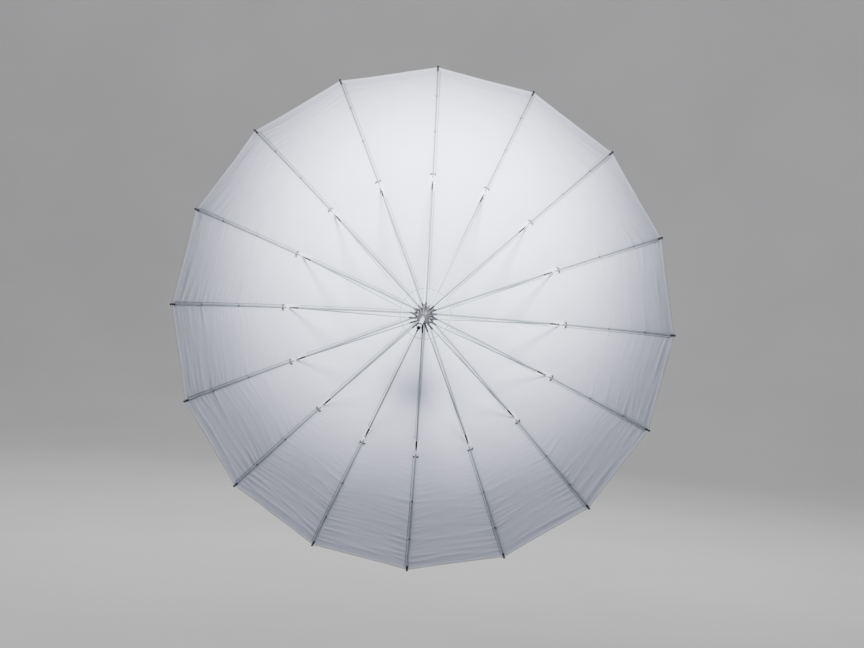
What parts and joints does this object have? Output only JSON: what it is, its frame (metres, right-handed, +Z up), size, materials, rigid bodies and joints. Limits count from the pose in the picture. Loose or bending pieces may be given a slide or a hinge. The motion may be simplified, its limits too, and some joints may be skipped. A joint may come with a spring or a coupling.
{
  "type": "umbrella reflector",
  "caption": "Deep white reflective studio umbrella that folds: curved ribs, stretchers, a slotted notch, a sliding runner, a stretched cloth canopy and a round shaft for a light's socket.",
  "frame": {"origin": "on the shaft's axis, in the middle of the length that a light's umbrella socket clamps", "axes": "-Y along the shaft to its free end, +Y to the canopy's apex, +Z up along the first rib, open side towards -Y"},
  "size_m": [1.0504, 0.7875, 1.0504],
  "materials": {
    "bright_tube": "satin",
    "spring_wire": "satin",
    "black_plastic": "matte",
    "fibreglass": "satin",
    "canopy": "white inside with a soft sheen, matt black outside",
    "leatherette": "matte"
  },
  "bodies": {
    "frame": {"shaft_tube": "bright_tube", "end_plug": "black_plastic", "stop_clip": "black_plastic", "notch": "black_plastic", "notch_wire": "spring_wire", "ferrule": "black_plastic", "apex_disc": "leatherette", "catch_pin": "spring_wire", "catch_spring": "spring_wire"},
    "runner": {"runner": "black_plastic", "runner_wire": "spring_wire"},
    "catch": {"catch": "spring_wire"},
    "rib_01": {"rib_01": "fibreglass"},
    "rib_02": {"rib_02": "fibreglass"},
    "rib_03": {"rib_03": "fibreglass"},
    "rib_04": {"rib_04": "fibreglass"},
    "rib_05": {"rib_05": "fibreglass"},
    "rib_06": {"rib_06": "fibreglass"},
    "rib_07": {"rib_07": "fibreglass"},
    "rib_08": {"rib_08": "fibreglass"},
    "rib_09": {"rib_09": "fibreglass"},
    "rib_10": {"rib_10": "fibreglass"},
    "rib_11": {"rib_11": "fibreglass"},
    "rib_12": {"rib_12": "fibreglass"},
    "rib_13": {"rib_13": "fibreglass"},
    "rib_14": {"rib_14": "fibreglass"},
    "rib_15": {"rib_15": "fibreglass"},
    "rib_16": {"rib_16": "fibreglass"},
    "stretcher_01": {"stretcher_01": "fibreglass"},
    "stretcher_02": {"stretcher_02": "fibreglass"},
    "stretcher_03": {"stretcher_03": "fibreglass"},
    "stretcher_04": {"stretcher_04": "fibreglass"},
    "stretcher_05": {"stretcher_05": "fibreglass"},
    "stretcher_06": {"stretcher_06": "fibreglass"},
    "stretcher_07": {"stretcher_07": "fibreglass"},
    "stretcher_08": {"stretcher_08": "fibreglass"},
    "stretcher_09": {"stretcher_09": "fibreglass"},
    "stretcher_10": {"stretcher_10": "fibreglass"},
    "stretcher_11": {"stretcher_11": "fibreglass"},
    "stretcher_12": {"stretcher_12": "fibreglass"},
    "stretcher_13": {"stretcher_13": "fibreglass"},
    "stretcher_14": {"stretcher_14": "fibreglass"},
    "stretcher_15": {"stretcher_15": "fibreglass"},
    "stretcher_16": {"stretcher_16": "fibreglass"},
    "gore_01": {"gore_01": "canopy"},
    "gore_02": {"gore_02": "canopy"},
    "gore_03": {"gore_03": "canopy"},
    "gore_04": {"gore_04": "canopy"},
    "gore_05": {"gore_05": "canopy"},
    "gore_06": {"gore_06": "canopy"},
    "gore_07": {"gore_07": "canopy"},
    "gore_08": {"gore_08": "canopy"},
    "gore_09": {"gore_09": "canopy"},
    "gore_10": {"gore_10": "canopy"},
    "gore_11": {"gore_11": "canopy"},
    "gore_12": {"gore_12": "canopy"},
    "gore_13": {"gore_13": "canopy"},
    "gore_14": {"gore_14": "canopy"},
    "gore_15": {"gore_15": "canopy"},
    "gore_16": {"gore_16": "canopy"}
  },
  "joints": [
    {"name": "fold", "type": "hinge", "parent": "frame", "child": "rib_01", "pos_m": [0, 0.718, 0.011], "axis": [1, 0, 0], "range_deg": [0, 52.5], "deforming": ["gore_01", "gore_02", "gore_03", "gore_04", "gore_05", "gore_06", "gore_07", "gore_08", "gore_09", "gore_10", "gore_11", "gore_12", "gore_13", "gore_14", "gore_15", "gore_16", "catch"]},
    {"name": "fold_rib_02", "type": "hinge", "parent": "frame", "child": "rib_02", "pos_m": [0.00421, 0.718, 0.01016], "axis": [0.9239, 0, -0.3827], "range_deg": [0, 52.5]},
    {"name": "fold_rib_03", "type": "hinge", "parent": "frame", "child": "rib_03", "pos_m": [0.00778, 0.718, 0.00778], "axis": [0.7071, 0, -0.7071], "range_deg": [0, 52.5]},
    {"name": "fold_rib_04", "type": "hinge", "parent": "frame", "child": "rib_04", "pos_m": [0.01016, 0.718, 0.00421], "axis": [0.3827, 0, -0.9239], "range_deg": [0, 52.5]},
    {"name": "fold_rib_05", "type": "hinge", "parent": "frame", "child": "rib_05", "pos_m": [0.011, 0.718, 0], "axis": [0, 0, -1], "range_deg": [0, 52.5]},
    {"name": "fold_rib_06", "type": "hinge", "parent": "frame", "child": "rib_06", "pos_m": [0.01016, 0.718, -0.00421], "axis": [-0.3827, 0, -0.9239], "range_deg": [0, 52.5]},
    {"name": "fold_rib_07", "type": "hinge", "parent": "frame", "child": "rib_07", "pos_m": [0.00778, 0.718, -0.00778], "axis": [-0.7071, 0, -0.7071], "range_deg": [0, 52.5]},
    {"name": "fold_rib_08", "type": "hinge", "parent": "frame", "child": "rib_08", "pos_m": [0.00421, 0.718, -0.01016], "axis": [-0.9239, 0, -0.3827], "range_deg": [0, 52.5]},
    {"name": "fold_rib_09", "type": "hinge", "parent": "frame", "child": "rib_09", "pos_m": [0, 0.718, -0.011], "axis": [-1, 0, 0], "range_deg": [0, 52.5]},
    {"name": "fold_rib_10", "type": "hinge", "parent": "frame", "child": "rib_10", "pos_m": [-0.00421, 0.718, -0.01016], "axis": [-0.9239, 0, 0.3827], "range_deg": [0, 52.5]},
    {"name": "fold_rib_11", "type": "hinge", "parent": "frame", "child": "rib_11", "pos_m": [-0.00778, 0.718, -0.00778], "axis": [-0.7071, 0, 0.7071], "range_deg": [0, 52.5]},
    {"name": "fold_rib_12", "type": "hinge", "parent": "frame", "child": "rib_12", "pos_m": [-0.01016, 0.718, -0.00421], "axis": [-0.3827, 0, 0.9239], "range_deg": [0, 52.5]},
    {"name": "fold_rib_13", "type": "hinge", "parent": "frame", "child": "rib_13", "pos_m": [-0.011, 0.718, 0], "axis": [0, 0, 1], "range_deg": [0, 52.5]},
    {"name": "fold_rib_14", "type": "hinge", "parent": "frame", "child": "rib_14", "pos_m": [-0.01016, 0.718, 0.00421], "axis": [0.3827, 0, 0.9239], "range_deg": [0, 52.5]},
    {"name": "fold_rib_15", "type": "hinge", "parent": "frame", "child": "rib_15", "pos_m": [-0.00778, 0.718, 0.00778], "axis": [0.7071, 0, 0.7071], "range_deg": [0, 52.5]},
    {"name": "fold_rib_16", "type": "hinge", "parent": "frame", "child": "rib_16", "pos_m": [-0.00421, 0.718, 0.01016], "axis": [0.9239, 0, 0.3827], "range_deg": [0, 52.5]},
    {"name": "fold_stretcher_01", "type": "hinge", "parent": "rib_01", "child": "stretcher_01", "pos_m": [0, 0.56529, 0.29245], "axis": [1, 0, 0], "range_deg": [-105, 0]},
    {"name": "fold_stretcher_02", "type": "hinge", "parent": "rib_02", "child": "stretcher_02", "pos_m": [0.11192, 0.56529, 0.27019], "axis": [0.9239, 0, -0.3827], "range_deg": [-105, 0]},
    {"name": "fold_stretcher_03", "type": "hinge", "parent": "rib_03", "child": "stretcher_03", "pos_m": [0.2068, 0.56529, 0.2068], "axis": [0.7071, 0, -0.7071], "range_deg": [-105, 0]},
    {"name": "fold_stretcher_04", "type": "hinge", "parent": "rib_04", "child": "stretcher_04", "pos_m": [0.27019, 0.56529, 0.11192], "axis": [0.3827, 0, -0.9239], "range_deg": [-105, 0]},
    {"name": "fold_stretcher_05", "type": "hinge", "parent": "rib_05", "child": "stretcher_05", "pos_m": [0.29245, 0.56529, 0], "axis": [0, 0, -1], "range_deg": [-105, 0]},
    {"name": "fold_stretcher_06", "type": "hinge", "parent": "rib_06", "child": "stretcher_06", "pos_m": [0.27019, 0.56529, -0.11192], "axis": [-0.3827, 0, -0.9239], "range_deg": [-105, 0]},
    {"name": "fold_stretcher_07", "type": "hinge", "parent": "rib_07", "child": "stretcher_07", "pos_m": [0.2068, 0.56529, -0.2068], "axis": [-0.7071, 0, -0.7071], "range_deg": [-105, 0]},
    {"name": "fold_stretcher_08", "type": "hinge", "parent": "rib_08", "child": "stretcher_08", "pos_m": [0.11192, 0.56529, -0.27019], "axis": [-0.9239, 0, -0.3827], "range_deg": [-105, 0]},
    {"name": "fold_stretcher_09", "type": "hinge", "parent": "rib_09", "child": "stretcher_09", "pos_m": [0, 0.56529, -0.29245], "axis": [-1, 0, 0], "range_deg": [-105, 0]},
    {"name": "fold_stretcher_10", "type": "hinge", "parent": "rib_10", "child": "stretcher_10", "pos_m": [-0.11192, 0.56529, -0.27019], "axis": [-0.9239, 0, 0.3827], "range_deg": [-105, 0]},
    {"name": "fold_stretcher_11", "type": "hinge", "parent": "rib_11", "child": "stretcher_11", "pos_m": [-0.2068, 0.56529, -0.2068], "axis": [-0.7071, 0, 0.7071], "range_deg": [-105, 0]},
    {"name": "fold_stretcher_12", "type": "hinge", "parent": "rib_12", "child": "stretcher_12", "pos_m": [-0.27019, 0.56529, -0.11192], "axis": [-0.3827, 0, 0.9239], "range_deg": [-105, 0]},
    {"name": "fold_stretcher_13", "type": "hinge", "parent": "rib_13", "child": "stretcher_13", "pos_m": [-0.29245, 0.56529, 0], "axis": [0, 0, 1], "range_deg": [-105, 0]},
    {"name": "fold_stretcher_14", "type": "hinge", "parent": "rib_14", "child": "stretcher_14", "pos_m": [-0.27019, 0.56529, 0.11192], "axis": [0.3827, 0, 0.9239], "range_deg": [-105, 0]},
    {"name": "fold_stretcher_15", "type": "hinge", "parent": "rib_15", "child": "stretcher_15", "pos_m": [-0.2068, 0.56529, 0.2068], "axis": [0.7071, 0, 0.7071], "range_deg": [-105, 0]},
    {"name": "fold_stretcher_16", "type": "hinge", "parent": "rib_16", "child": "stretcher_16", "pos_m": [-0.11192, 0.56529, 0.27019], "axis": [0.9239, 0, 0.3827], "range_deg": [-105, 0]},
    {"name": "fold_gore_01", "type": "hinge", "parent": "frame", "child": "gore_01", "pos_m": [0.0021, 0.718, 0.01058], "axis": [0.9808, 0, -0.1951], "range_deg": [0, 52.5]},
    {"name": "fold_gore_02", "type": "hinge", "parent": "frame", "child": "gore_02", "pos_m": [0.00599, 0.718, 0.00897], "axis": [0.8315, 0, -0.5556], "range_deg": [0, 52.5]},
    {"name": "fold_gore_03", "type": "hinge", "parent": "frame", "child": "gore_03", "pos_m": [0.00897, 0.718, 0.00599], "axis": [0.5556, 0, -0.8315], "range_deg": [0, 52.5]},
    {"name": "fold_gore_04", "type": "hinge", "parent": "frame", "child": "gore_04", "pos_m": [0.01058, 0.718, 0.0021], "axis": [0.1951, 0, -0.9808], "range_deg": [0, 52.5]},
    {"name": "fold_gore_05", "type": "hinge", "parent": "frame", "child": "gore_05", "pos_m": [0.01058, 0.718, -0.0021], "axis": [-0.1951, 0, -0.9808], "range_deg": [0, 52.5]},
    {"name": "fold_gore_06", "type": "hinge", "parent": "frame", "child": "gore_06", "pos_m": [0.00897, 0.718, -0.00599], "axis": [-0.5556, 0, -0.8315], "range_deg": [0, 52.5]},
    {"name": "fold_gore_07", "type": "hinge", "parent": "frame", "child": "gore_07", "pos_m": [0.00599, 0.718, -0.00897], "axis": [-0.8315, 0, -0.5556], "range_deg": [0, 52.5]},
    {"name": "fold_gore_08", "type": "hinge", "parent": "frame", "child": "gore_08", "pos_m": [0.0021, 0.718, -0.01058], "axis": [-0.9808, 0, -0.1951], "range_deg": [0, 52.5]},
    {"name": "fold_gore_09", "type": "hinge", "parent": "frame", "child": "gore_09", "pos_m": [-0.0021, 0.718, -0.01058], "axis": [-0.9808, 0, 0.1951], "range_deg": [0, 52.5]},
    {"name": "fold_gore_10", "type": "hinge", "parent": "frame", "child": "gore_10", "pos_m": [-0.00599, 0.718, -0.00897], "axis": [-0.8315, 0, 0.5556], "range_deg": [0, 52.5]},
    {"name": "fold_gore_11", "type": "hinge", "parent": "frame", "child": "gore_11", "pos_m": [-0.00897, 0.718, -0.00599], "axis": [-0.5556, 0, 0.8315], "range_deg": [0, 52.5]},
    {"name": "fold_gore_12", "type": "hinge", "parent": "frame", "child": "gore_12", "pos_m": [-0.01058, 0.718, -0.0021], "axis": [-0.1951, 0, 0.9808], "range_deg": [0, 52.5]},
    {"name": "fold_gore_13", "type": "hinge", "parent": "frame", "child": "gore_13", "pos_m": [-0.01058, 0.718, 0.0021], "axis": [0.1951, 0, 0.9808], "range_deg": [0, 52.5]},
    {"name": "fold_gore_14", "type": "hinge", "parent": "frame", "child": "gore_14", "pos_m": [-0.00897, 0.718, 0.00599], "axis": [0.5556, 0, 0.8315], "range_deg": [0, 52.5]},
    {"name": "fold_gore_15", "type": "hinge", "parent": "frame", "child": "gore_15", "pos_m": [-0.00599, 0.718, 0.00897], "axis": [0.8315, 0, 0.5556], "range_deg": [0, 52.5]},
    {"name": "fold_gore_16", "type": "hinge", "parent": "frame", "child": "gore_16", "pos_m": [-0.0021, 0.718, 0.01058], "axis": [0.9808, 0, 0.1951], "range_deg": [0, 52.5]},
    {"name": "runner_slide", "type": "hinge", "parent": "stretcher_01", "child": "runner", "pos_m": [0, 0.41259, 0.011], "axis": [1, 0, 0], "range_deg": [0, 52.5]},
    {"name": "catch_press", "type": "hinge", "parent": "frame", "child": "catch", "pos_m": [0, 0.35829, 0], "axis": [-1, 0, 0], "range_deg": [0, 8], "stiffness_Nm_per_rad": 0.05, "springref_deg": -11.46, "deforming": ["catch_spring"]}
  ],
  "couplings": [
    {"joint": "fold_rib_02", "follows": "fold", "ratio": 1},
    {"joint": "fold_rib_03", "follows": "fold", "ratio": 1},
    {"joint": "fold_rib_04", "follows": "fold", "ratio": 1},
    {"joint": "fold_rib_05", "follows": "fold", "ratio": 1},
    {"joint": "fold_rib_06", "follows": "fold", "ratio": 1},
    {"joint": "fold_rib_07", "follows": "fold", "ratio": 1},
    {"joint": "fold_rib_08", "follows": "fold", "ratio": 1},
    {"joint": "fold_rib_09", "follows": "fold", "ratio": 1},
    {"joint": "fold_rib_10", "follows": "fold", "ratio": 1},
    {"joint": "fold_rib_11", "follows": "fold", "ratio": 1},
    {"joint": "fold_rib_12", "follows": "fold", "ratio": 1},
    {"joint": "fold_rib_13", "follows": "fold", "ratio": 1},
    {"joint": "fold_rib_14", "follows": "fold", "ratio": 1},
    {"joint": "fold_rib_15", "follows": "fold", "ratio": 1},
    {"joint": "fold_rib_16", "follows": "fold", "ratio": 1},
    {"joint": "fold_stretcher_01", "follows": "fold", "ratio": -2},
    {"joint": "fold_stretcher_02", "follows": "fold", "ratio": -2},
    {"joint": "fold_stretcher_03", "follows": "fold", "ratio": -2},
    {"joint": "fold_stretcher_04", "follows": "fold", "ratio": -2},
    {"joint": "fold_stretcher_05", "follows": "fold", "ratio": -2},
    {"joint": "fold_stretcher_06", "follows": "fold", "ratio": -2},
    {"joint": "fold_stretcher_07", "follows": "fold", "ratio": -2},
    {"joint": "fold_stretcher_08", "follows": "fold", "ratio": -2},
    {"joint": "fold_stretcher_09", "follows": "fold", "ratio": -2},
    {"joint": "fold_stretcher_10", "follows": "fold", "ratio": -2},
    {"joint": "fold_stretcher_11", "follows": "fold", "ratio": -2},
    {"joint": "fold_stretcher_12", "follows": "fold", "ratio": -2},
    {"joint": "fold_stretcher_13", "follows": "fold", "ratio": -2},
    {"joint": "fold_stretcher_14", "follows": "fold", "ratio": -2},
    {"joint": "fold_stretcher_15", "follows": "fold", "ratio": -2},
    {"joint": "fold_stretcher_16", "follows": "fold", "ratio": -2},
    {"joint": "fold_gore_01", "follows": "fold", "ratio": 1},
    {"joint": "fold_gore_02", "follows": "fold", "ratio": 1},
    {"joint": "fold_gore_03", "follows": "fold", "ratio": 1},
    {"joint": "fold_gore_04", "follows": "fold", "ratio": 1},
    {"joint": "fold_gore_05", "follows": "fold", "ratio": 1},
    {"joint": "fold_gore_06", "follows": "fold", "ratio": 1},
    {"joint": "fold_gore_07", "follows": "fold", "ratio": 1},
    {"joint": "fold_gore_08", "follows": "fold", "ratio": 1},
    {"joint": "fold_gore_09", "follows": "fold", "ratio": 1},
    {"joint": "fold_gore_10", "follows": "fold", "ratio": 1},
    {"joint": "fold_gore_11", "follows": "fold", "ratio": 1},
    {"joint": "fold_gore_12", "follows": "fold", "ratio": 1},
    {"joint": "fold_gore_13", "follows": "fold", "ratio": 1},
    {"joint": "fold_gore_14", "follows": "fold", "ratio": 1},
    {"joint": "fold_gore_15", "follows": "fold", "ratio": 1},
    {"joint": "fold_gore_16", "follows": "fold", "ratio": 1},
    {"joint": "runner_slide", "follows": "fold", "ratio": 1}
  ]
}
